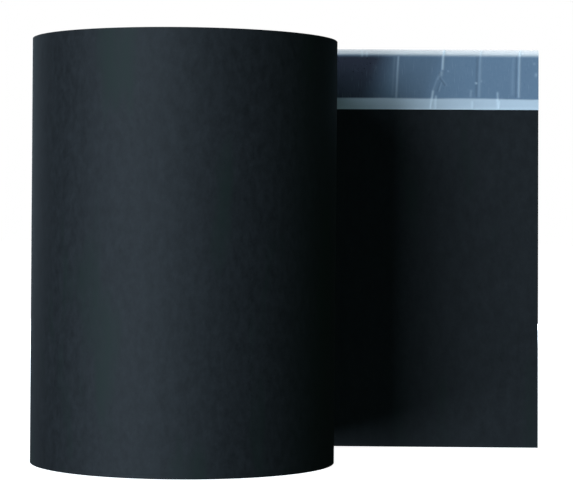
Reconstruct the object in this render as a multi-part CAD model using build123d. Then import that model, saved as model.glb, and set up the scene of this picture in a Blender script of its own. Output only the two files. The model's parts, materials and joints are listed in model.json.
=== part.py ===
from build123d import *
from math import sqrt
import os

# A roll of window sealing membrane, standing on its end, with its last stretch drawn off at the back.
# The origin is on the roll's axis at its base, +Z is up, and the tail runs towards +X. Millimetres.

# Rubber web
WEB_WIDTH = 250.0
WEB_THICKNESS = 0.8
TURNS = 60
TAIL_LENGTH = 222.5

# Cardboard core, cut flush with the web
CORE_BORE_RADIUS = 38.0
CORE_WALL = 4.5

# Lines between the turns, cut into both ends of the roll
TURNS_PER_LINE = 5
LINE_WIDTH = 0.5
LINE_DEPTH = 0.4
CUT_OVERRUN = 1.0

# Adhesive strip along the web's upper edge, on the face that was wound inwards
ADHESIVE_WIDTH = 27.0
ADHESIVE_THICKNESS = 0.4

# Release film over the adhesive, which stands above the web's edge on the tail
FILM_THICKNESS = 0.1
FILM_OVERHANG = 4.0
FILM_MARGIN = 7.0
FILM_RISE_LENGTH = 56.0
NIP_CLEARANCE = 0.05

# Worked out from the sizes above
CORE_RADIUS = CORE_BORE_RADIUS + CORE_WALL
ROLL_RADIUS = CORE_RADIUS + TURNS * WEB_THICKNESS
TAIL_INNER_FACE = ROLL_RADIUS - WEB_THICKNESS
FILM_WIDTH = FILM_OVERHANG + ADHESIVE_WIDTH + FILM_MARGIN
STRIP_GAP = ADHESIVE_THICKNESS + FILM_THICKNESS + NIP_CLEARANCE


def strip_start():
    """Distance along the tail at which it stands off the roll by the strip's own thickness."""
    turn_under_radius = ROLL_RADIUS - WEB_THICKNESS / 2
    return sqrt(STRIP_GAP * (2 * turn_under_radius - STRIP_GAP))


def roll_outline():
    """The outer turn seen from above. It ends one web thickness lower, under the tail that leaves it."""
    tail_root = (0, ROLL_RADIUS)
    left = (-ROLL_RADIUS, 0)
    front = (0, -ROLL_RADIUS)
    under_tail = (0, TAIL_INNER_FACE)
    first_half = ThreePointArc(tail_root, left, front)
    second_half = TangentArc(front, under_tail, tangent=(1, 0))
    return make_face([first_half, second_half, Line(under_tail, tail_root)])


def turn_line(radius):
    """One V-shaped ring, cut down into the upper end."""
    half_width = LINE_WIDTH / 2
    mouth = WEB_WIDTH + CUT_OVERRUN
    groove = make_face(
        Polyline(
            (radius - half_width, mouth),
            (radius - half_width, WEB_WIDTH),
            (radius, WEB_WIDTH - LINE_DEPTH),
            (radius + half_width, WEB_WIDTH),
            (radius + half_width, mouth),
            close=True,
        )
    )
    return revolve(Plane.XZ * groove, Axis.Z)


def turn_lines():
    """The rings of both ends, one for every few turns of the web."""
    middle = Plane.XY.offset(WEB_WIDTH / 2)
    spacing = TURNS_PER_LINE * WEB_THICKNESS
    radii = [CORE_RADIUS + step * spacing for step in range(1, TURNS // TURNS_PER_LINE)]
    upper = [turn_line(radius) for radius in radii]
    lower = [mirror(ring, middle) for ring in upper]
    return upper + lower


def membrane():
    """The whole web: its turns as one wound solid around the core, and the tail drawn off it."""
    turns = roll_outline() - Circle(CORE_RADIUS)
    tail = Rectangle(TAIL_LENGTH, WEB_THICKNESS, align=(Align.MIN, Align.MIN))
    web = extrude(turns + Pos(0, TAIL_INNER_FACE) * tail, WEB_WIDTH)
    return web - turn_lines()


def core_tube():
    """Cardboard tube that the web is wound on."""
    wall = Circle(CORE_RADIUS) - Circle(CORE_BORE_RADIUS)
    return extrude(wall, WEB_WIDTH)


def adhesive_strip():
    """Adhesive band, flush with the web's upper edge, from the nip to the cut end."""
    start = strip_start()
    band = Box(
        TAIL_LENGTH - start,
        ADHESIVE_THICKNESS,
        ADHESIVE_WIDTH,
        align=(Align.MIN, Align.MAX, Align.MAX),
    )
    return Pos(start, TAIL_INNER_FACE, WEB_WIDTH) * band


def release_liner():
    """Film over the adhesive. It leaves the roll flush with it, and drifts up to its overhang."""
    start = strip_start()
    level = (1, 0)
    top = WEB_WIDTH + FILM_OVERHANG
    upper = Spline((start, WEB_WIDTH), (start + FILM_RISE_LENGTH, top), tangents=(level, level))
    lower = Pos(0, -FILM_WIDTH) * upper
    rest = Polyline(upper @ 1, (TAIL_LENGTH, top), (TAIL_LENGTH, top - FILM_WIDTH), lower @ 1)
    film = make_face([upper, rest, lower, Line(lower @ 0, upper @ 0)])
    on_adhesive = Plane.XZ.offset(ADHESIVE_THICKNESS - TAIL_INNER_FACE)
    return extrude(on_adhesive * film, FILM_THICKNESS)


nodes = {
    "membrane": membrane(),
    "core_tube": core_tube(),
    "adhesive_strip": adhesive_strip(),
    "release_liner": release_liner(),
}

os.makedirs("parts", exist_ok=True)
for name, shape in nodes.items():
    export_step(shape, f"parts/{name}.step")
    print(name, len(shape.solids()), "solid", round(shape.volume), "mm3")
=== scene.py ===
"""Dresses a packed roll of window sealing membrane and sets it up in a studio.

Every length is in metres. The roll stands on its end around the Z axis, and its tail leaves it at
the back and runs towards +X.
"""

import bisect
import json
import logging
import math
from dataclasses import dataclass, field
from enum import Enum

import bmesh
import bpy
from mathutils import Color, Matrix, Vector, noise


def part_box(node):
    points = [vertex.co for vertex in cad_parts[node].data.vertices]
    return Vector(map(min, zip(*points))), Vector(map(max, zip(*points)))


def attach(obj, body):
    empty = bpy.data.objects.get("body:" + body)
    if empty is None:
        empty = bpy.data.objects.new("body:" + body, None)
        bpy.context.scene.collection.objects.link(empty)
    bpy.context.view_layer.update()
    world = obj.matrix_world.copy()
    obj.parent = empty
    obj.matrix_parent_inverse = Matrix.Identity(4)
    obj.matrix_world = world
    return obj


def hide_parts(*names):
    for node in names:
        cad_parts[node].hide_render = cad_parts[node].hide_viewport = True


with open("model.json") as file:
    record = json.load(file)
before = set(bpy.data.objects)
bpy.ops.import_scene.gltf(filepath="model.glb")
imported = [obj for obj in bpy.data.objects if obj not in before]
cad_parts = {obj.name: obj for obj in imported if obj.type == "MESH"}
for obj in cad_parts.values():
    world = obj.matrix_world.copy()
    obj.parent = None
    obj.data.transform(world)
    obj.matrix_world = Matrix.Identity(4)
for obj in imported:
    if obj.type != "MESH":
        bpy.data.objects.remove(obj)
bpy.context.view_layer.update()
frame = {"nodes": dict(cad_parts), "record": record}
MM = 0.001
BODY = "root"
SHARP_ANGLE = math.radians(35.0)
STRAIGHTNESS = 0.999
MERGE_DISTANCE = 0.001 * MM
X_AXIS = 0
Z_AXIS = 2

Pair = tuple[float, float]
Triple = tuple[float, float, float]
Rgba = tuple[float, float, float, float]
Socket = bpy.types.NodeSocket
Material = bpy.types.Material
BMesh = bmesh.types.BMesh
BMEdges = list[bmesh.types.BMEdge]
FULL: Pair = (0.0, 1.0)

log = logging.getLogger("roll")


class Slot(Enum):
    """Material slots of the record."""

    RUBBER = "membrane_rubber"
    BOARD = "core_board"
    ADHESIVE = "adhesive"
    FILM = "release_film"


class Lamp(Enum):
    """Kinds of lamp in the studio."""

    SOFTBOX = "AREA"
    SKY = "SUN"


class Mark(Enum):
    """Values that a mesh carries at its points, for its finish to read."""

    BONDED = "bonded"
    BEYOND = "beyond"
    CREASE_AND_GLINT = "creased"
    PAINTED_SHADE = "wet"
    COVER = "cover"
    SEAM = "seam"


def clamped(value: float) -> float:
    """The value, kept from 0 to 1."""
    return min(1.0, max(0.0, value))


def smoothstep(low: float, high: float, value: float) -> float:
    """Rises smoothly from 0 at low to 1 at high.

    Args:
        low: Where the rise starts.
        high: Where the rise ends.
        value: Where it is read.

    Returns:
        A number from 0 to 1.
    """
    share = clamped((value - low) / (high - low))
    return share * share * (3.0 - 2.0 * share)


def bell(offset: float, width: float) -> float:
    """A soft bump of height 1 at offset 0, about as wide as width."""
    return math.exp(-((offset / width) ** 2))


def smooth_noise(x: float, y: float, z: float) -> float:
    """Smooth noise from about -1 to 1, with swells about 1 long."""
    return noise.noise(Vector((x, y, z)))


def ring_radius(node: str) -> float:
    """The largest distance of a CAD node's vertices from the Z axis."""
    vertices = frame["nodes"][node].data.vertices
    return max(math.hypot(vertex.co.x, vertex.co.y) for vertex in vertices)


def mount_radius(name: str) -> float:
    """The stated radius of a round mount."""
    mount = next(m for m in frame["record"]["mounts"] if m["name"] == name)
    return mount["dims"]["r_mm"] * MM


@dataclass(frozen=True)
class RollSizes:
    """Sizes of the roll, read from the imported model, and how far off square its tail is cut."""

    width: float
    radius: float
    thickness: float
    core_radius: float
    bore_radius: float
    tail_end: float
    strip_start: float
    strip_bottom: float
    film_back: float
    film_front: float
    film_bottom: float
    film_top: float
    cut_skew: float = 2.0 * MM

    @classmethod
    def from_frame(cls) -> "RollSizes":
        """Measures the CAD nodes.

        Returns:
            The sizes that the scene's pieces are built to.
        """
        web_low, web_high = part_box("membrane")
        band_low, band_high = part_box("adhesive_strip")
        film_low, film_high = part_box("release_liner")
        return cls(
            width=web_high.z,
            radius=web_high.y,
            thickness=web_high.y - band_high.y,
            core_radius=ring_radius("core_tube"),
            bore_radius=mount_radius("core_bore"),
            tail_end=web_high.x,
            strip_start=band_low.x,
            strip_bottom=band_low.z,
            film_back=film_high.y,
            film_front=film_low.y,
            film_bottom=film_low.z,
            film_top=film_high.z,
        )

    @property
    def overhang(self) -> float:
        """How far the film stands above the web's edge on the tail."""
        return self.film_top - self.width

    def cut_end(self, height: float) -> float:
        """Where the tail was cut off, which is a little off square."""
        return self.tail_end - self.cut_skew * height / self.width

    @property
    def turns(self) -> int:
        """Turns of the web on the core."""
        return round((self.radius - self.core_radius) / self.thickness)


@dataclass
class WoundPath:
    """Line that the web's outer face follows: straight along the tail, then half circles inwards.

    Distances along it are counted from the tail's cut end, and each half turn begins at one of
    starts.
    """

    radius: float
    pitch: float
    tail_length: float
    half_turns: int
    starts: list[float] = field(init=False)

    def __post_init__(self) -> None:
        """Adds up the lengths of the half turns."""
        self.starts = [self.tail_length]
        for index in range(self.half_turns):
            self.starts.append(self.starts[-1] + math.pi * self.half_radius(index))

    @property
    def end(self) -> float:
        """Distance at which the last turn ends on the core."""
        return self.starts[-1]

    def half_radius(self, index: int) -> float:
        """Radius of one half turn."""
        return self.radius - index * self.pitch / 2

    def after_turns(self, count: int) -> float:
        """Distance at which this many whole turns are wound."""
        return self.starts[2 * count]

    def point(self, distance: float, depth: float) -> Pair:
        """Place of a point of the web, seen from above.

        Args:
            distance: Distance from the cut end, along the outer face.
            depth: How far the point lies inside the outer face.

        Returns:
            Its x and y.
        """
        if distance <= self.tail_length:
            return self.tail_length - distance, self.radius - depth
        index = min(bisect.bisect_right(self.starts, distance) - 1, self.half_turns - 1)
        radius = self.half_radius(index)
        angle = math.pi / 2 + math.pi * index + (distance - self.starts[index]) / radius
        centre = -self.pitch / 2 if index % 2 else 0.0
        reach = radius - depth
        return reach * math.cos(angle), centre + reach * math.sin(angle)


@dataclass(frozen=True)
class Grain:
    """A noise pattern of a finish.

    It has scale noise cells for each metre, and stretch times as many along each axis. Each octave
    of finer noise is harshness times as strong as the one before. Where its window is cut out, the
    values in it are spread over spread.
    """

    scale: float = 1.0
    octaves: float = 4.0
    stretch: Triple | None = None
    shift: Triple = (0.0, 0.0, 0.0)
    harshness: float = 0.5
    window: Pair = (0.3, 0.7)
    spread: Pair = FULL


@dataclass(frozen=True)
class Relief:
    """Real height of a bump, and the share of it that shows."""

    height: float
    strength: float


class Surface:
    """A node material that is put together around one Principled shader."""

    def __init__(self, name: str) -> None:
        """Starts the material with its shader and its object coordinates."""
        self.material = bpy.data.materials.new(name)
        self.material.use_nodes = True
        self.tree = self.material.node_tree
        self.shader = self.tree.nodes["Principled BSDF"]
        self.place = self.node("ShaderNodeTexCoord").outputs["Object"]

    def node(
        self, kind: str, inputs: dict | None = None, **settings: object
    ) -> bpy.types.ShaderNode:
        """Adds one node.

        Args:
            kind: Type name of the node.
            inputs: Values of its sockets by name or number, or the sockets they are linked from.
            **settings: Attributes of the node.

        Returns:
            The new node.
        """
        made = self.tree.nodes.new(kind)
        for name, value in settings.items():
            setattr(made, name, value)
        for name, value in (inputs or {}).items():
            self.feed(made.inputs[name], value)
        return made

    def feed(self, socket: Socket, value: object) -> None:
        """Links a socket to another one, or sets it."""
        if isinstance(value, Socket):
            self.tree.links.new(value, socket)
        else:
            socket.default_value = value

    def set(self, **values: object) -> None:
        """Sets or links sockets of the Principled shader, with _ for a space in their names."""
        for name, value in values.items():
            self.feed(self.shader.inputs[name.replace("_", " ")], value)

    def grain(self, grain: Grain, place: Socket | None = None) -> Socket:
        """Noise from 0 to 1, as it comes.

        Args:
            grain: The pattern.
            place: Coordinates, or None for the object's.

        Returns:
            The noise's value socket.
        """
        place = place or self.place
        if grain.stretch:
            moved = {"Vector": place, "Scale": grain.stretch, "Location": grain.shift}
            place = self.node("ShaderNodeMapping", moved).outputs["Vector"]
        inputs = {
            "Vector": place,
            "Scale": grain.scale,
            "Detail": grain.octaves,
            "Roughness": grain.harshness,
        }
        return self.node("ShaderNodeTexNoise", inputs).outputs["Fac"]

    def span(self, value: Socket, source: Pair, target: Pair) -> Socket:
        """Maps a value from one range to another, clamped.

        Args:
            value: The socket that is read.
            source: Its range.
            target: The range that comes out.

        Returns:
            The mapped value's socket.
        """
        inputs = {
            "Value": value,
            "From Min": source[0],
            "From Max": source[1],
            "To Min": target[0],
            "To Max": target[1],
        }
        return self.node("ShaderNodeMapRange", inputs).outputs["Result"]

    def pattern(self, grain: Grain, place: Socket | None = None) -> Socket:
        """Noise with its window cut out and spread."""
        return self.span(self.grain(grain, place), grain.window, grain.spread)

    def blend(self, share: object, first: object, second: object) -> Socket:
        """Mixes two colours. The node's sockets share their names, so they go by number."""
        colours = {0: share, 6: first, 7: second}
        return self.node("ShaderNodeMix", colours, data_type="RGBA").outputs[2]

    def maths(self, operation: str, first: object, second: object) -> Socket:
        """One operation on two values."""
        return self.node("ShaderNodeMath", {0: first, 1: second}, operation=operation).outputs[0]

    def bump(self, shape: Socket, relief: Relief, under: Socket | None = None) -> Socket:
        """A bump on the surface.

        Args:
            shape: Socket of its shape, from 0 to 1.
            relief: Its height and strength.
            under: Normal that it lies on, or None.

        Returns:
            The bumped normal.
        """
        inputs = {"Height": shape, "Distance": relief.height, "Strength": relief.strength}
        if under is not None:
            inputs["Normal"] = under
        return self.node("ShaderNodeBump", inputs).outputs["Normal"]

    def radius(self) -> Socket:
        """Distance from the roll's axis."""
        place = self.node("ShaderNodeSeparateXYZ", {"Vector": self.place}).outputs
        level = self.node("ShaderNodeCombineXYZ", {"X": place["X"], "Y": place["Y"]}).outputs[0]
        return self.node("ShaderNodeVectorMath", {0: level}, operation="LENGTH").outputs["Value"]

    def attribute(self, mark: Mark) -> Socket:
        """A value that the mesh carries."""
        return self.node("ShaderNodeAttribute", attribute_name=mark.value).outputs["Fac"]


def tone(red: float, green: float, blue: float) -> Rgba:
    """A linear colour with full alpha."""
    return (red, green, blue, 1.0)


WHITE = tone(1.0, 1.0, 1.0)


@dataclass(frozen=True)
class RubberFinish:
    """Calendered rubber: blue black and matt, with clouds, green streaks and fine lines."""

    name: str = "calendered_rubber"
    deep: Rgba = tone(0.0009, 0.0013, 0.0017)
    pale: Rgba = tone(0.0110, 0.0121, 0.0134)
    green: Rgba = tone(0.0036, 0.0082, 0.0062)
    gloss: float = 0.23
    roughness: Pair = (0.69, 0.725)
    clouds: Grain = Grain(
        240.0, octaves=6.0, stretch=(1.0, 1.0, 0.6), harshness=0.78, window=(0.25, 0.75)
    )
    streaks: Grain = Grain(
        stretch=(42.0, 42.0, 9.0), shift=(15.54, 0.0, 25.62), window=(0.56, 0.70), spread=(0.0, 0.9)
    )
    pores: Grain = Grain(2400.0, octaves=2.0)
    pore_relief: Relief = Relief(0.04 * MM, 0.6)
    lines: Grain = Grain(octaves=3.0, stretch=(2.0, 2.0, 700.0))
    line_relief: Relief = Relief(0.02 * MM, 0.3)

    def material(self) -> Material:
        """Builds the finish."""
        made = Surface(self.name)
        clouds = made.pattern(self.clouds)
        base = made.blend(clouds, self.deep, self.pale)
        pores = made.bump(made.grain(self.pores), self.pore_relief)
        made.set(
            Base_Color=made.blend(made.pattern(self.streaks), base, self.green),
            Roughness=made.span(clouds, FULL, self.roughness),
            Specular_IOR_Level=self.gloss,
            Normal=made.bump(made.grain(self.lines), self.line_relief, pores),
        )
        return made.material


@dataclass(frozen=True)
class FilmFinish:
    """Release film: clear on the adhesive and milky over air; painted shade darkens it near the
    roll.
    """

    name: str = "release_film"
    bonded: Rgba = tone(0.179, 0.245, 0.326)
    milky: Rgba = tone(0.595, 0.640, 0.688)
    loose: Rgba = tone(0.93, 0.88, 0.85)
    # pale crease lines: partly air under the film, partly a painted highlight
    crease: Rgba = tone(0.90, 0.95, 0.98)
    # painted shade: colour of the roll's shadow on the film and of the shaded side of creases
    painted_shade_colour: Rgba = tone(0.032, 0.032, 0.047)
    gloss: float = 0.12
    roughness: Grain = Grain(420.0, octaves=3.0, spread=(0.26, 0.36))
    clouds: Grain = Grain(320.0, spread=(-0.03, 0.03))
    scuffs: Grain = Grain(stretch=(1500.0, 1.0, 110.0), window=(0.60, 0.80), spread=(0.0, 0.12))
    waves: Grain = Grain(octaves=3.0, stretch=(190.0, 190.0, 40.0))
    wave_relief: Relief = Relief(0.06 * MM, 0.4)

    def material(self) -> Material:
        """Builds the finish."""
        made = Surface(self.name)
        bonded = made.maths("ADD", made.attribute(Mark.BONDED), made.pattern(self.clouds))
        base = made.blend(bonded, self.milky, self.bonded)
        base = made.blend(made.attribute(Mark.BEYOND), base, self.loose)
        # painted shade: the roll's shadow and the shaded sides of creases, put into the base colour
        base = made.blend(made.attribute(Mark.PAINTED_SHADE), base, self.painted_shade_colour)
        # pale crease lines, partly a painted highlight, with worn and scuffed lines
        creased = made.maths("MAXIMUM", made.attribute(Mark.CREASE_AND_GLINT), made.pattern(self.scuffs))
        made.set(
            Base_Color=made.blend(creased, base, self.crease),
            Alpha=made.attribute(Mark.COVER),
            Roughness=made.pattern(self.roughness),
            Specular_IOR_Level=self.gloss,
            Normal=made.bump(made.grain(self.waves), self.wave_relief),
        )
        return made.material


@dataclass(frozen=True)
class AdhesiveFinish:
    """Pressure-sensitive adhesive: dark grey, wet looking, with small trapped bubbles."""

    name: str = "adhesive"
    deep: Rgba = tone(0.02, 0.026, 0.034)
    pale: Rgba = tone(0.05, 0.065, 0.08)
    roughness: Pair = (0.2, 0.34)
    clouds: Grain = Grain(300.0, window=(0.35, 0.65))
    bubbles: Grain = Grain(900.0, octaves=2.0)
    bubble_relief: Relief = Relief(0.04 * MM, 0.4)

    def material(self) -> Material:
        """Builds the finish."""
        made = Surface(self.name)
        clouds = made.pattern(self.clouds)
        made.set(
            Base_Color=made.blend(clouds, self.deep, self.pale),
            Roughness=made.span(clouds, FULL, self.roughness),
            Normal=made.bump(made.grain(self.bubbles), self.bubble_relief),
        )
        return made.material


@dataclass(frozen=True)
class FilmEdgeFinish:
    """The film's cut edge between the turns: slightly blue, and paler in some turns."""

    name: str = "film_edge"
    dull: Rgba = tone(0.05, 0.07, 0.09)
    bright: Rgba = tone(0.42, 0.50, 0.56)
    roughness: Grain = Grain(300.0, spread=(0.28, 0.42))
    ring_pitch: float = 3.0 * MM
    rings: Grain = Grain(octaves=3.0, window=(0.35, 0.65))
    nicks: Grain = Grain(1500.0, octaves=2.0)
    nick_relief: Relief = Relief(0.02 * MM, 0.3)

    def material(self) -> Material:
        """Builds the finish."""
        made = Surface(self.name)
        outwards = made.maths("DIVIDE", made.radius(), self.ring_pitch)
        place = made.node("ShaderNodeCombineXYZ", {"X": outwards}).outputs[0]
        made.set(
            Base_Color=made.blend(made.pattern(self.rings, place), self.dull, self.bright),
            Roughness=made.pattern(self.roughness),
            Normal=made.bump(made.grain(self.nicks), self.nick_relief),
        )
        return made.material


@dataclass(frozen=True)
class BoardFinish:
    """Wound core board: grey brown paper with fibres, and its plies showing on the cut ends."""

    name: str = "core_board"
    dark: Rgba = tone(0.19, 0.125, 0.07)
    light: Rgba = tone(0.36, 0.255, 0.155)
    seam: Rgba = tone(0.10, 0.065, 0.035)
    gloss: float = 0.25
    roughness: Pair = (0.78, 0.95)
    fibres: Grain = Grain(900.0, octaves=5.0, stretch=(1.0, 1.0, 0.25), spread=(0.0, 0.42))
    fibre_relief: Relief = Relief(0.12 * MM, 0.6)
    blotches: Grain = Grain(70.0, spread=(0.125, 0.375))
    ply_pitch: float = 0.5 * MM
    ply_relief: Relief = Relief(0.06 * MM, 0.5)

    def material(self) -> Material:
        """Builds the finish."""
        made = Surface(self.name)
        fibres = made.grain(self.fibres)
        shown = made.span(fibres, self.fibres.window, self.fibres.spread)
        base = made.maths("ADD", shown, made.pattern(self.blotches))
        base = made.blend(base, self.dark, self.light)
        half_ply = self.ply_pitch / 2
        plies = made.span(made.maths("PINGPONG", made.radius(), half_ply), (0.0, half_ply), FULL)
        made.set(
            Base_Color=made.blend(made.attribute(Mark.SEAM), base, self.seam),
            Roughness=made.span(fibres, self.fibres.window, self.roughness),
            Specular_IOR_Level=self.gloss,
            Normal=made.bump(plies, self.ply_relief, made.bump(fibres, self.fibre_relief)),
        )
        return made.material


@dataclass(frozen=True)
class FloorFinish:
    """Pale studio floor with its own glow, so that it stays white away from the lamps."""

    name: str = "pale_floor"
    dull: Rgba = tone(0.80, 0.80, 0.80)
    pale: Rgba = tone(0.81, 0.81, 0.81)
    glow: float = 0.90
    roughness: Pair = (0.85, 0.95)
    clouds: Grain = Grain(3.0, octaves=2.0)

    def material(self) -> Material:
        """Builds the finish."""
        made = Surface(self.name)
        clouds = made.pattern(self.clouds)
        made.set(
            Base_Color=made.blend(clouds, self.dull, self.pale),
            Roughness=made.span(clouds, FULL, self.roughness),
            Specular_IOR_Level=0.0,
            Emission_Color=WHITE,
            Emission_Strength=self.glow,
        )
        return made.material


def add_object(name: str, data: bpy.types.ID) -> bpy.types.Object:
    """Makes an object of a mesh, a lamp or a camera, and puts it in the scene."""
    made = bpy.data.objects.new(name, data)
    bpy.context.scene.collection.objects.link(made)
    return made


def mesh_piece(name: str, bm: BMesh, finish: Material) -> bpy.types.Object:
    """Turns a bmesh into an object at the origin, shaded smooth up to an angle.

    Args:
        name: Name of the piece.
        bm: Its mesh, in place. It is freed.
        finish: Its material.

    Returns:
        The new object.
    """
    bmesh.ops.recalc_face_normals(bm, faces=bm.faces)
    for face in bm.faces:
        face.smooth = True
    for edge in bm.edges:
        edge.smooth = edge.calc_face_angle(0.0) < SHARP_ANGLE
    mesh = bpy.data.meshes.new(name)
    bm.to_mesh(mesh)
    bm.free()
    mesh.materials.append(finish)
    return add_object(name, mesh)


def fasten(piece: bpy.types.Object, slot: Slot, *nodes: str) -> None:
    """Fastens a piece to the roll's body, and logs it.

    Args:
        piece: The finished piece.
        slot: Material slot that it belongs to; not used.
        *nodes: CAD nodes that it stands for.
    """
    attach(piece, BODY)
    if nodes:
        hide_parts(*nodes)
    log.info("%s: %d faces", piece.name, len(piece.data.polygons))


def edges_along(bm: BMesh, axis: int) -> BMEdges:
    """The edges of a mesh that run along one axis."""
    found = []
    for edge in bm.edges:
        step = edge.verts[1].co - edge.verts[0].co
        if abs(step[axis]) > STRAIGHTNESS * step.length:
            found.append(edge)
    return found


def soften(bm: BMesh, edges: BMEdges, offset: float, segments: int = 1) -> None:
    """Bevels some edges of a mesh.

    Args:
        bm: The mesh.
        edges: The edges.
        offset: How far the bevel reaches from each edge.
        segments: Steps that it is made of.
    """
    bmesh.ops.bevel(
        bm,
        geom=edges,
        offset=offset,
        offset_type="OFFSET",
        segments=segments,
        profile=0.5,
        affect="EDGES",
        material=-1,
    )


@dataclass
class Bar:
    """A straight bar with softened long edges, cut into short lengths so that it can be wound.

    Its x runs along the web, its y from the outer face inwards, and its z across the web.
    """

    length: float
    depth: float
    low: float
    high: float
    softening: float
    stations: int
    rows: int = 1

    def build(self) -> BMesh:
        """Builds the bar, still straight.

        Returns:
            A closed mesh.
        """
        bm = bmesh.new()
        bmesh.ops.create_cube(bm, size=1.0)
        size = Vector((self.length, self.depth, self.high - self.low))
        middle = Vector((self.length / 2, self.depth / 2, (self.high + self.low) / 2))
        bmesh.ops.scale(bm, vec=size, verts=bm.verts)
        bmesh.ops.translate(bm, vec=middle, verts=bm.verts)
        if self.softening:
            soften(bm, edges_along(bm, X_AXIS), self.softening)
        if self.rows > 1:
            upright = [e for e in edges_along(bm, Z_AXIS) if e.calc_length() > self.depth]
            self.divide(bm, upright, self.rows)
        self.divide(bm, edges_along(bm, X_AXIS), self.stations)
        return bm

    @staticmethod
    def divide(bm: BMesh, edges: BMEdges, parts: int) -> None:
        """Cuts edges into parts, and the faces between them with them."""
        bmesh.ops.subdivide_edges(bm, edges=edges, cuts=parts - 1, use_grid_fill=True)


@dataclass
class WoundWeb:
    """The rubber web: its tail, its outer turn, and the turns below that show on the roll's ends.

    No two turns lie level: an edge lies up to stagger inside the roll's end, usual_stagger of that
    on the average, and more or less by a slow drift and a faster waver along the turns.
    """

    sizes: RollSizes
    finish: Material
    film_edge: Material
    film_gap: float = 0.08 * MM
    softening: float = 0.10 * MM
    step: float = 4.0 * MM
    fine_step: float = 2.4 * MM
    outer_rows: int = 12
    overlap: float = 30.0 * MM
    thinning: float = 6.0 * MM
    edge_depth: float = 2.4 * MM
    cut_length: float = 40.0 * MM
    stagger: float = 0.60 * MM
    usual_stagger: float = 0.45
    drift: float = 1.1
    drift_pace: float = 0.23
    waver: float = 0.4
    waver_pace: float = 1.4
    upper_seed: float = 3.1
    lower_seed: float = 8.7
    path: WoundPath = field(init=False)

    def __post_init__(self) -> None:
        """Lays out the line that the web follows."""
        sizes = self.sizes
        half_turns = 2 * (sizes.turns - 1)
        self.path = WoundPath(sizes.radius, sizes.thickness, sizes.tail_end, half_turns)

    @property
    def outer_length(self) -> float:
        """Length of the tail, the outer turn, and what it laps under itself."""
        return self.path.after_turns(1) + self.overlap

    def stagger_at(self, distance: float, seed: float) -> float:
        """How far a wound edge lies inside the roll's end.

        Args:
            distance: Distance from the cut end.
            seed: Number that sets one edge of the web apart from the other.

        Returns:
            The depth, which is 0 on the tail and the outer turn.
        """
        turn = (distance - self.path.tail_length) / (2 * math.pi * self.sizes.radius)
        drift = self.drift * smooth_noise(turn * self.drift_pace, seed, 0.0)
        waver = self.waver * smooth_noise(turn * self.waver_pace, 0.0, seed)
        fade = smoothstep(self.path.after_turns(1), self.path.after_turns(2), distance)
        return self.stagger * fade * clamped(self.usual_stagger + (drift + waver))

    def wind(self, bm: BMesh, start: float, depth: float) -> None:
        """Winds a straight bar onto the roll.

        Args:
            bm: The bar.
            start: Distance from the cut end at which it begins.
            depth: How far its outer face lies inside the web's.
        """
        middle = self.sizes.width / 2
        for vertex in bm.verts:
            along, inwards, across = vertex.co
            distance = start + along
            x, y = self.path.point(distance, depth + inwards)
            if across > middle:
                across -= self.stagger_at(distance, self.upper_seed)
            else:
                across += self.stagger_at(distance, self.lower_seed)
            vertex.co = (x, y, across)

    def outer(self) -> bpy.types.Object:
        """The tail and the outer turn, with the web's full thickness on the tail."""
        length = self.outer_length
        bar = Bar(
            length=length,
            depth=self.sizes.thickness,
            low=0.0,
            high=self.sizes.width,
            softening=self.softening,
            stations=round(length / self.fine_step),
            rows=self.outer_rows,
        )
        bm = bar.build()
        nip = self.path.tail_length
        for vertex in bm.verts:
            thinned = smoothstep(nip - self.thinning, nip + self.thinning, vertex.co.x)
            vertex.co.y *= 1.0 - thinned * self.film_gap / self.sizes.thickness
            near_cut = 1.0 - smoothstep(0.0, self.cut_length, vertex.co.x)
            vertex.co.x += near_cut * (self.sizes.tail_end - self.sizes.cut_end(vertex.co.z))
        self.wind(bm, 0.0, 0.0)
        return mesh_piece("web_tail_and_outer_turn", bm, self.finish)

    def inner(self) -> bpy.types.Object:
        """All the turns under the outer one, which show as lines on the roll's ends."""
        start = self.outer_length
        length = self.path.end - start
        bar = Bar(
            length=length,
            depth=self.sizes.thickness - self.film_gap,
            low=0.0,
            high=self.sizes.width,
            softening=self.softening,
            stations=round(length / self.step),
        )
        bm = bar.build()
        self.wind(bm, start, 0.0)
        return mesh_piece("web_inner_turns", bm, self.finish)

    def film_lines(self) -> bpy.types.Object:
        """The release film's upper edge, wound in between the turns."""
        start = self.path.tail_length
        length = self.path.end - start
        bar = Bar(
            length=length,
            depth=self.film_gap,
            low=self.sizes.width - self.edge_depth,
            high=self.sizes.width,
            softening=0.0,
            stations=round(length / self.step),
        )
        bm = bar.build()
        self.wind(bm, start, self.sizes.thickness - self.film_gap)
        return mesh_piece("film_edges_in_turns", bm, self.film_edge)

    def build(self) -> None:
        """Builds the web and puts it in place of its CAD solid."""
        fasten(self.outer(), Slot.RUBBER, "membrane")
        fasten(self.inner(), Slot.RUBBER)
        fasten(self.film_lines(), Slot.FILM)


@dataclass(frozen=True)
class Crease:
    """One crease or blister pressed into the film.

    Its foot and head are distances along the tail and heights on the roll. It stands off the web
    by lift, and its line is pale, partly a painted highlight; at an offset beside it, on the roll's
    side, a line of painted shade darkens the film.
    More than felt widths along the tail from its foot, nothing of it is felt.
    """

    foot: Pair
    head: Pair
    lift: float
    pale: float
    side_shade: float = 0.0
    width: float = 0.75 * MM
    side_shade_offset: float = 2.0 * MM
    felt: float = 12.0

    def weight(self, x: float, z: float) -> float:
        """How much of the crease is felt at a place, from 0 to 1."""
        start = Vector(self.foot)
        run = Vector(self.head) - start
        offset = Vector((x, z)) - start
        if abs(offset.x) > self.felt * self.width:
            return 0.0
        along = offset.dot(run) / run.length_squared
        beside = (offset - run * along).length
        ends = self.width / run.length
        begun = smoothstep(-ends, ends, along)
        ended = smoothstep(1.0 - ends, 1.0 + ends, along)
        return bell(beside, self.width) * (begun * (1.0 - ended))


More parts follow.
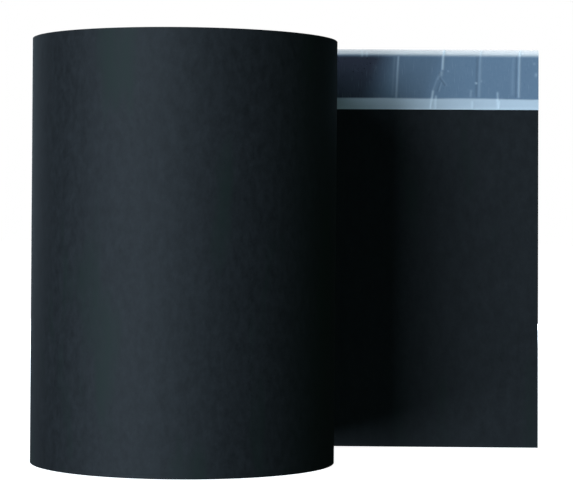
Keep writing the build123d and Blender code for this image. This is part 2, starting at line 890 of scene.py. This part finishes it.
@dataclass(frozen=True)
class Wander:
    """How a line laid by hand strays: in swells of about this length and height."""

    length: float
    height: float
    seed: float

    def at(self, x: float) -> float:
        """How far the line strays at a distance along it."""
        return self.height * smooth_noise(x / self.length, self.seed, 0.0)


@dataclass
class TailStrip:
    """The adhesive band on the tail and the release film over it.

    A fade is the stretch beside an edge over which something changes, and near_fade and far_fade
    are shares of the overhang. Each step of the shadow table is a distance along the tail and how
    much painted shadow of the roll the film carries there, at a given level of the adhesive's
    height.
    """

    sizes: RollSizes
    adhesive: Material
    film: Material
    creases: tuple[Crease, ...]
    columns: int = 620
    rows: int = 60
    band_stations: int = 160
    band_softening: float = 0.3

    # The film's and the adhesive's edges
    rise_length: float = 56.0 * MM
    early_rise: float = 0.80
    sag: float = 0.2 * MM
    bond_drop: float = 0.45 * MM
    bond_wander: Wander = Wander(38.0 * MM, 0.3 * MM, 2.6)
    bond_waver: Wander = Wander(9.0 * MM, 0.1 * MM, 4.2)

    # How far the film stands off
    ripple_size: Pair = (14.0 * MM, 60.0 * MM)
    ripple_seed: float = 1.7
    nip_length: float = 20.0 * MM
    slack: float = 0.2 * MM
    slack_ripple: float = 0.3 * MM
    edge_curl: float = 0.35 * MM
    curl_width: float = 2.0 * MM
    curl_share: float = 0.6

    # How much the film hides
    backed_cover: float = 0.88
    loose_cover: Pair = (0.65, 0.22)
    near_fade: Pair = (0.0, 0.30)
    far_fade: Pair = (0.45, 1.05)
    crease_cover: float = 0.4

    # Where the film is bonded, loose and worn, and where the roll's shadow is painted on it
    bond_fade: Pair = (-0.5 * MM, 0.4 * MM)
    web_fade: Pair = (-0.4 * MM, 0.3 * MM)
    clear_fade: Pair = (-1.3 * MM, 1.9 * MM)
    shadow_fade: Pair = (-2.0 * MM, 1.0 * MM)
    worn_width: float = 1.2 * MM
    worn: float = 0.25
    # painted shade: share of the roll's painted shadow kept on the film above the web's edge
    overhang_shade: float = 0.28
    # painted shadow of the roll: its share at each distance along the tail
    shadow_steps: tuple[Pair, ...] = (
        (112.0 * MM, 1.0),
        (134.0 * MM, 0.27),
        (150.0 * MM, 0.27),
        (164.0 * MM, 0.0),
        (180.0 * MM, 0.0),
        (214.0 * MM, 0.10),
    )
    shadow_level: float = 0.7
    shadow_slant: float = 10.0 * MM
    shadow_ripple: float = 1.5 * MM
    # painted light: the painted shadow thins towards the adhesive's lower edge, as the lamps light
    # it more there
    lower_lightening: float = 0.14

    @property
    def film_width(self) -> float:
        """Width of the film, edge to edge."""
        return self.sizes.film_top - self.sizes.film_bottom - self.sizes.overhang + self.sag

    def film_lower_edge(self, x: float) -> float:
        """Height of the film's lower edge: level at the nip, then up to its place on the tail."""
        start = self.sizes.strip_start
        early = smoothstep(start, start + self.rise_length, x)
        steady = (x - start) / (self.sizes.tail_end - start)
        share = self.early_rise * early + (1.0 - self.early_rise) * steady
        return self.sizes.film_bottom - self.sag + self.sizes.overhang * share

    def bond_edge(self, x: float) -> float:
        """Height of the adhesive's lower edge, laid by hand and so not quite straight."""
        middle = self.sizes.strip_bottom - self.bond_drop
        return middle + self.bond_wander.at(x) + self.bond_waver.at(x)

    def shadow_share(self, x: float, rise: float) -> float:
        """How much painted shadow of the roll the film carries: all of it near the roll, less
        further out.

        Args:
            x: Distance along the tail.
            rise: Height on the adhesive, from 0 at its lower edge to 1 at the web's edge.

        Returns:
            The share of painted shadow, a little less towards the lower edge, a painted lightening
            there.
        """
        place = x + self.shadow_slant * (self.shadow_level - rise)
        share = self.shadow_steps[0][1]
        for (near, before), (far, after) in zip(self.shadow_steps, self.shadow_steps[1:]):
            share += (after - before) * smoothstep(near, far, place)
        return share * (1.0 - self.lower_lightening * (1.0 - rise))

    def cover_at(self, z: float) -> float:
        """How much the film hides: nearly all over the web, and less and less above its edge."""
        near, far = self.loose_cover
        rise = (z - self.sizes.width) / self.sizes.overhang
        cover = self.backed_cover + smoothstep(*self.near_fade, rise) * (near - self.backed_cover)
        return cover + smoothstep(*self.far_fade, rise) * (far - near)

    def creased(self, x: float, z: float) -> Triple:
        """What the creases do at a place of the film.

        Args:
            x: Distance along the tail.
            z: Height on the roll.

        Returns:
            Their lift, their pale share, partly a painted highlight, and their share of painted
            shade beside them.
        """
        lift = 0.0
        pale = 0.0
        side_shade = 0.0
        for crease in self.creases:
            weight = crease.weight(x, z)
            lift = max(lift, crease.lift * weight)
            pale = max(pale, crease.pale * weight)
            if crease.side_shade:
                side_shade = max(side_shade, crease.side_shade * crease.weight(x + crease.side_shade_offset, z))
        return lift, pale, side_shade

    def adhesive_band(self) -> bpy.types.Object:
        """The band of adhesive on the web's inner face."""
        sizes = self.sizes
        thick = sizes.radius - sizes.thickness - sizes.film_back
        bar = Bar(
            length=1.0,
            depth=thick,
            low=sizes.strip_bottom,
            high=sizes.width,
            softening=thick * self.band_softening,
            stations=self.band_stations,
        )
        bm = bar.build()
        middle = (sizes.strip_bottom + sizes.width) / 2
        for vertex in bm.verts:
            z = vertex.co.z
            x = sizes.strip_start + vertex.co.x * (sizes.cut_end(z) - sizes.strip_start)
            if z < middle:
                z += self.bond_edge(x) - sizes.strip_bottom
            vertex.co = (x, sizes.film_back + vertex.co.y, z)
        return mesh_piece("adhesive_band", bm, self.adhesive)

    def film_sheet(self) -> bpy.types.Object:
        """The release film, creased, bonded in the middle and free along both edges."""
        bm = bmesh.new()
        marks = (Mark.BONDED, Mark.BEYOND, Mark.CREASE_AND_GLINT, Mark.PAINTED_SHADE, Mark.COVER)
        layers = {mark: bm.verts.layers.float.new(mark.value) for mark in marks}
        bmesh.ops.create_grid(bm, x_segments=self.columns, y_segments=self.rows, size=0.5)
        for vertex in bm.verts:
            self.lay(vertex, layers)
        bm.normal_update()
        thick = self.sizes.film_back - self.sizes.film_front
        bmesh.ops.solidify(bm, geom=bm.faces, thickness=thick)
        return mesh_piece("release_film_sheet", bm, self.film)

    def lay(self, vertex: bmesh.types.BMVert, layers: dict[Mark, object]) -> None:
        """Lays one point of a unit square onto the tail, and notes how the film looks there.

        Args:
            vertex: The point.
            layers: Where the mesh keeps each mark.
        """
        sizes = self.sizes
        along = vertex.co.x + 0.5
        across = vertex.co.y + 0.5
        top_end = sizes.cut_end(sizes.width)
        x = sizes.strip_start + along * (top_end - sizes.strip_start)
        height = across * self.film_width
        z = self.film_lower_edge(x) + height
        x += along * (sizes.cut_end(z) - top_end)

        lift, pale, side_shade = self.creased(x, z)
        edge = self.bond_edge(x)
        low, high = self.bond_fade
        bonded = smoothstep(edge + low, edge + high, z)
        low, high = self.web_fade
        free = 1.0 - bonded + smoothstep(sizes.width + low, sizes.width + high, z)
        long, tall = self.ripple_size
        ripple = smooth_noise(x / long, z / tall, self.ripple_seed)
        curl = self.edge_curl * bell(height, self.curl_width) * (self.curl_share + ripple)
        loose = (self.slack + self.slack_ripple * ripple) * free + curl
        past_nip = smoothstep(sizes.strip_start, sizes.strip_start + self.nip_length, x)
        vertex.co = (x, sizes.film_front - past_nip * (lift + max(0.0, loose)), z)

        above = z - sizes.width
        rise = clamped((z - edge) / (sizes.width - edge))
        # painted shade: the roll's shadow on the film, kept only in part above the web's edge
        held = 1.0 - (1.0 - self.overhang_shade) * smoothstep(*self.shadow_fade, above)
        wet = bonded * held * self.shadow_share(x + self.shadow_ripple * ripple, rise)
        vertex[layers[Mark.BONDED]] = bonded
        vertex[layers[Mark.BEYOND]] = smoothstep(*self.clear_fade, above)
        # pale crease lines are partly a painted highlight; they also hide more of what lies behind
        vertex[layers[Mark.COVER]] = min(1.0, self.cover_at(z) + self.crease_cover * pale)
        vertex[layers[Mark.CREASE_AND_GLINT]] = max(pale, self.worn * bell(height, self.worn_width))
        # painted shade: the roll's shadow, or the shaded side of a crease, whichever is darker
        vertex[layers[Mark.PAINTED_SHADE]] = max(side_shade, wet)

    def build(self) -> None:
        """Builds the band and the film in place of their CAD solids."""
        fasten(self.adhesive_band(), Slot.ADHESIVE, "adhesive_strip")
        fasten(self.film_sheet(), Slot.FILM, "release_liner")


def tail_creases() -> tuple[Crease, ...]:
    """The creases in the film from the roll to the cut end, and then the small blisters."""
    return (
        Crease((0.1080, 0.2490), (0.1079, 0.2530), 0.10 * MM, 0.18),
        Crease((0.1110, 0.2490), (0.1110, 0.2530), 0.10 * MM, 0.14),
        Crease((0.1299, 0.2228), (0.1312, 0.2495), 0.14 * MM, 0.20, side_shade=0.22),
        Crease((0.1275, 0.2240), (0.1288, 0.2490), 0.08 * MM, 0.05, width=0.9 * MM),
        Crease((0.1594, 0.2407), (0.1599, 0.2505), 0.22 * MM, 0.34, side_shade=0.20),
        Crease((0.1599, 0.2500), (0.1606, 0.2538), 0.20 * MM, 0.60),
        Crease((0.1560, 0.2342), (0.1594, 0.2407), 0.16 * MM, 0.09),
        Crease((0.1535, 0.2278), (0.1560, 0.2342), 0.12 * MM, 0.06),
        Crease((0.1518, 0.2157), (0.1535, 0.2278), 0.18 * MM, 0.32),
        Crease((0.1552, 0.2157), (0.1553, 0.2245), 0.16 * MM, 0.24),
        Crease((0.1586, 0.2368), (0.1590, 0.2400), 0.20 * MM, 0.18, 0.30, 0.9 * MM, 1.4 * MM),
        Crease((0.1624, 0.2308), (0.1586, 0.2360), 0.12 * MM, 0.06, 0.28, 0.6 * MM, 1.2 * MM),
        Crease((0.1572, 0.2270), (0.1590, 0.2330), 0.10 * MM, 0.08, 0.25, 0.5 * MM, 1.2 * MM),
        Crease((0.1829, 0.2236), (0.1836, 0.2497), 0.12 * MM, 0.09, side_shade=0.22, width=0.95 * MM),
        Crease((0.1836, 0.2495), (0.1840, 0.2532), 0.12 * MM, 0.30),
        Crease((0.1775, 0.2236), (0.1777, 0.2282), 0.12 * MM, 0.12),
        Crease((0.1785, 0.2160), (0.1785, 0.2210), 0.14 * MM, 0.20),
        Crease((0.1946, 0.2270), (0.1950, 0.2178), 0.16 * MM, 0.20),
        Crease((0.1955, 0.2215), (0.1952, 0.2160), 0.16 * MM, 0.38),
        Crease((0.2082, 0.2234), (0.2085, 0.2500), 0.18 * MM, 0.21, side_shade=0.25, width=0.80 * MM),
        Crease((0.2085, 0.2495), (0.2090, 0.2538), 0.18 * MM, 0.45),
        Crease((0.2043, 0.2250), (0.2046, 0.2490), 0.08 * MM, 0.04, width=0.9 * MM),
        Crease((0.1808, 0.2323), (0.1810, 0.2329), 0.30 * MM, 0.60),
        Crease((0.1840, 0.2336), (0.1842, 0.2341), 0.24 * MM, 0.30, width=0.6 * MM),
        Crease((0.1628, 0.2399), (0.1630, 0.2403), 0.22 * MM, 0.30, width=0.6 * MM),
        Crease((0.2100, 0.2513), (0.2102, 0.2518), 0.24 * MM, 0.60),
        Crease((0.2178, 0.2449), (0.2179, 0.2455), 0.22 * MM, 0.20, width=0.9 * MM),
        Crease((0.2190, 0.2370), (0.2193, 0.2392), 0.16 * MM, 0.14, width=0.9 * MM),
    )


@dataclass
class CoreTube:
    """The cardboard core: rounded mouths, and the spiral seam of its wound plies inside."""

    sizes: RollSizes
    finish: Material
    rounding: float = 0.5 * MM
    rounding_steps: int = 3
    seam_lead: float = 118.0 * MM
    seam_depth: float = 0.35 * MM
    seam_width: float = 0.9 * MM
    seam_shade: float = 0.8
    steps: int = 200
    rows: int = 150

    def seam_at(self, x: float, y: float, z: float) -> float:
        """How near a place of the inner wall is to the seam, from 0 to 1."""
        turn = math.atan2(y, x) / (2 * math.pi) + z / self.seam_lead
        offset = (turn - round(turn)) * self.seam_lead
        return bell(offset, self.seam_width)

    def is_mouth(self, edge: bmesh.types.BMEdge) -> bool:
        """Whether an edge runs round one of the tube's mouths."""
        near = self.rounding / 10
        first, second = (vertex.co for vertex in edge.verts)
        level = abs(first.z - second.z) < near
        at_end = min(first.z, self.sizes.width - first.z) < near
        around = abs(first.xy.length - second.xy.length) < near
        return level and at_end and around

    def spun_wall(self) -> BMesh:
        """Spins the tube's section round the axis, with rows of points on the inner wall.

        Returns:
            The tube, closed and with sharp mouths.
        """
        sizes = self.sizes
        wall = sizes.core_radius - sizes.bore_radius
        bm = bmesh.new()
        bmesh.ops.create_grid(bm, x_segments=1, y_segments=1, size=0.5)
        for vertex in bm.verts:
            radius = sizes.bore_radius + (vertex.co.x + 0.5) * wall
            vertex.co = (radius, 0.0, (vertex.co.y + 0.5) * sizes.width)
        bmesh.ops.delete(bm, geom=bm.faces[:], context="FACES_ONLY")
        middle = sizes.core_radius - wall / 2
        inner = [e for e in edges_along(bm, Z_AXIS) if e.verts[0].co.x < middle]
        bmesh.ops.subdivide_edges(bm, edges=inner, cuts=self.rows - 1)
        bmesh.ops.spin(
            bm,
            geom=bm.verts[:] + bm.edges[:],
            cent=(0.0, 0.0, 0.0),
            axis=(0.0, 0.0, 1.0),
            angle=2 * math.pi,
            steps=self.steps,
            use_merge=True,
        )
        bmesh.ops.remove_doubles(bm, verts=bm.verts, dist=MERGE_DISTANCE)
        return bm

    def build(self) -> None:
        """Rounds the tube's mouths, presses the seam in, and replaces the CAD solid."""
        bm = self.spun_wall()
        seam = bm.verts.layers.float.new(Mark.SEAM.value)
        mouths = [e for e in bm.edges if self.is_mouth(e)]
        soften(bm, mouths, self.rounding, self.rounding_steps)
        for vertex in bm.verts:
            x, y, z = vertex.co
            radius = math.hypot(x, y)
            if radius < self.sizes.bore_radius + self.rounding:
                weight = self.seam_at(x, y, z)
                vertex[seam] = self.seam_shade * weight
                pushed = (radius + self.seam_depth * weight) / radius
                vertex.co = (x * pushed, y * pushed, z)
        fasten(mesh_piece("core_tube_board", bm, self.finish), Slot.BOARD, "core_tube")


SKY_BLUE: Triple = (0.654, 0.833, 1.0)
TEAL: Triple = (0.45, 0.81, 0.87)
GREEN: Triple = (0.42, 0.90, 0.72)


@dataclass(frozen=True)
class Softbox:
    """One upright lamp of the studio, which faces the roll.

    Azimuth 0 stands where the camera does, and it grows towards the camera's right, in degrees.
    Its power is in watts, and low and high are the heights of its edges over the floor.
    """

    name: str
    azimuth: float
    width: float
    power: float
    low: float
    high: float
    colour: Triple = SKY_BLUE
    distance: float = 1.80

    def build(self, target: Vector) -> None:
        """Hangs the lamp, at its distance round a point of the floor."""
        data = bpy.data.lights.new(self.name, Lamp.SOFTBOX.value)
        data.shape = "RECTANGLE"
        data.size = self.width
        data.size_y = self.high - self.low
        data.energy = self.power
        data.color = Color(self.colour)
        lamp = add_object(self.name, data)
        turn = math.radians(self.azimuth)
        away = Vector((math.sin(turn), -math.cos(turn), 0.0))
        middle = Vector((0.0, 0.0, (self.high + self.low) / 2))
        lamp.location = target + away * self.distance + middle
        lamp.rotation_mode = "QUATERNION"
        lamp.rotation_quaternion = (-away).to_track_quat("-Z", "Y")
        lamp.visible_camera = False


@dataclass(frozen=True)
class View:
    """The photograph's camera: about level with the roll's middle, its right side a little raised.

    Its pitch, downwards, and its roll are in degrees, and its focal length in the photograph's
    pixels.
    """

    place: Triple = (0.0611, -1.2407, 0.1421)
    focal_pixels: float = 2083.5
    frame_pixels: float = 574.0
    pitch: float = 0.647
    roll: float = 0.488
    sensor: float = 36.0
    clip: Pair = (0.05, 60.0)

    def build(self) -> None:
        """Sets up the camera and makes it the scene's."""
        data = bpy.data.cameras.new("camera")
        data.sensor_width = self.sensor
        data.lens = self.focal_pixels / self.frame_pixels * self.sensor
        data.clip_start, data.clip_end = self.clip
        camera = add_object("camera", data)
        pitch = math.radians(self.pitch)
        roll = math.radians(self.roll)
        forward = Vector((0.0, math.cos(pitch), -math.sin(pitch)))
        level = Vector((1.0, 0.0, 0.0))
        lift = Vector((0.0, math.sin(pitch), math.cos(pitch)))
        right = level * math.cos(roll) + lift * math.sin(roll)
        up = lift * math.cos(roll) - level * math.sin(roll)
        turned = Matrix((right, up, -forward)).transposed().to_4x4()
        camera.matrix_world = Matrix.Translation(self.place) @ turned
        bpy.context.scene.camera = camera


@dataclass
class Studio:
    """Pale floor, white surround and soft lamps."""

    floor: Material
    target: Triple = (0.03, 0.0, 0.0)
    floor_radius: float = 14.0
    floor_sides: int = 96
    surround: float = 1.0
    fill: float = 0.008
    sky_strength: float = 0.6
    sky_angle: float = 20.0
    lamps: tuple[Softbox, ...] = (
        Softbox("key_high", -34.6, 0.51, 23.9, low=0.70, high=1.60),
        Softbox("key_middle", -26.6, 0.56, 25.4, low=0.0, high=0.70),
        Softbox("key_low", -42.5, 0.51, 23.8, low=-0.60, high=0.0),
        Softbox("front_low", 8.0, 0.25, 3.6, low=-0.60, high=0.0, colour=TEAL),
        Softbox("right_high", 100.0, 0.64, 1.2, low=0.70, high=1.60, colour=GREEN),
        Softbox("right_low", 100.0, 0.64, 0.8, low=-0.60, high=0.0, colour=GREEN),
        Softbox("left_rim", -140.0, 0.64, 3.2, low=0.0, high=0.70),
        Softbox("right_rim", 160.0, 0.64, 26.0, low=0.0, high=0.27),
        Softbox("back_softbox", -172.0, 0.90, 18.0, low=0.0, high=1.40),
    )

    def build_floor(self) -> None:
        """Lays a round floor under the roll, which neither lights nor shades it."""
        bm = bmesh.new()
        bmesh.ops.create_circle(
            bm, cap_ends=True, segments=self.floor_sides, radius=self.floor_radius
        )
        piece = mesh_piece("studio_floor", bm, self.floor)
        piece.visible_diffuse = False
        piece.visible_glossy = False
        piece.visible_shadow = False

    def build_surround(self) -> None:
        """White to the camera, and almost dark to the roll, so that the lamps shape it."""
        world = bpy.data.worlds.new("surround")
        bpy.context.scene.world = world
        world.use_nodes = True
        tree = world.node_tree
        back = tree.nodes["Background"]
        seen = tree.nodes.new("ShaderNodeLightPath")
        strength = tree.nodes.new("ShaderNodeMapRange")
        strength.inputs["To Min"].default_value = self.fill
        strength.inputs["To Max"].default_value = self.surround
        tree.links.new(seen.outputs["Is Camera Ray"], strength.inputs["Value"])
        tree.links.new(strength.outputs["Result"], back.inputs["Strength"])
        back.inputs["Color"].default_value = WHITE

    def build_sky(self) -> None:
        """A wide overhead light, which lights the floor evenly."""
        data = bpy.data.lights.new("overhead", Lamp.SKY.value)
        data.energy = self.sky_strength
        data.angle = math.radians(self.sky_angle)
        add_object("overhead", data)

    def build(self) -> None:
        """Builds the whole studio."""
        self.build_floor()
        self.build_surround()
        self.build_sky()
        for lamp in self.lamps:
            lamp.build(Vector(self.target))
        View().build()
        settings = bpy.context.scene.view_settings
        settings.view_transform = "Standard"
        settings.look = "None"
        log.info("studio: %d lamps", len(self.lamps))


def main() -> None:
    """Builds every piece in order, and reports each one."""
    logging.basicConfig(level=logging.INFO, format="%(name)s: %(message)s")
    sizes = RollSizes.from_frame()
    radius, thickness = sizes.radius / MM, sizes.thickness / MM
    log.info("roll: radius %.1f mm, %d turns of %.2f mm", radius, sizes.turns, thickness)
    WoundWeb(sizes, RubberFinish().material(), FilmEdgeFinish().material()).build()
    TailStrip(sizes, AdhesiveFinish().material(), FilmFinish().material(), tail_creases()).build()
    CoreTube(sizes, BoardFinish().material()).build()
    Studio(FloorFinish().material()).build()


if __name__ == "__main__":
    main()
